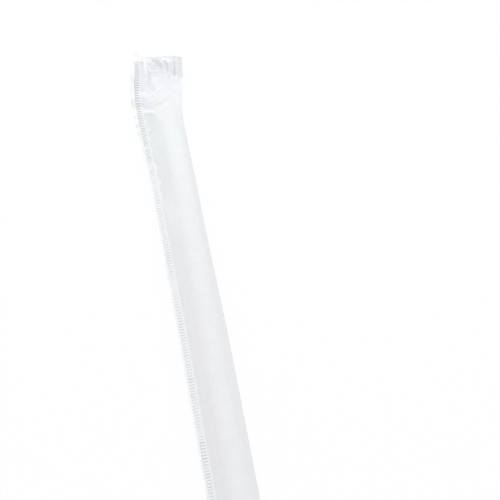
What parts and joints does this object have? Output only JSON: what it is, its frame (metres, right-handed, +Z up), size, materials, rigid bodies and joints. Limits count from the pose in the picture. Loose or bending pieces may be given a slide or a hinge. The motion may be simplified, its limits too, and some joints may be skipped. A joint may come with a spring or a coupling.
{
  "type": "wrapped drinking straw",
  "caption": "Straight drinking straw sealed in a white paper sleeve, with a knurled side seam and crimped, creased end seals.",
  "frame": {"origin": "middle of the bounding box's underside, on the table that the straw lies on", "axes": "+Y along the straw to its creased top end, +Z up, the knurled seam on the -X side"},
  "size_m": [0.0146, 0.2276, 0.0061],
  "materials": {
    "paper": "satin white"
  },
  "bodies": {
    "root": {"wrapped_straw": "paper"}
  },
  "joints": []
}
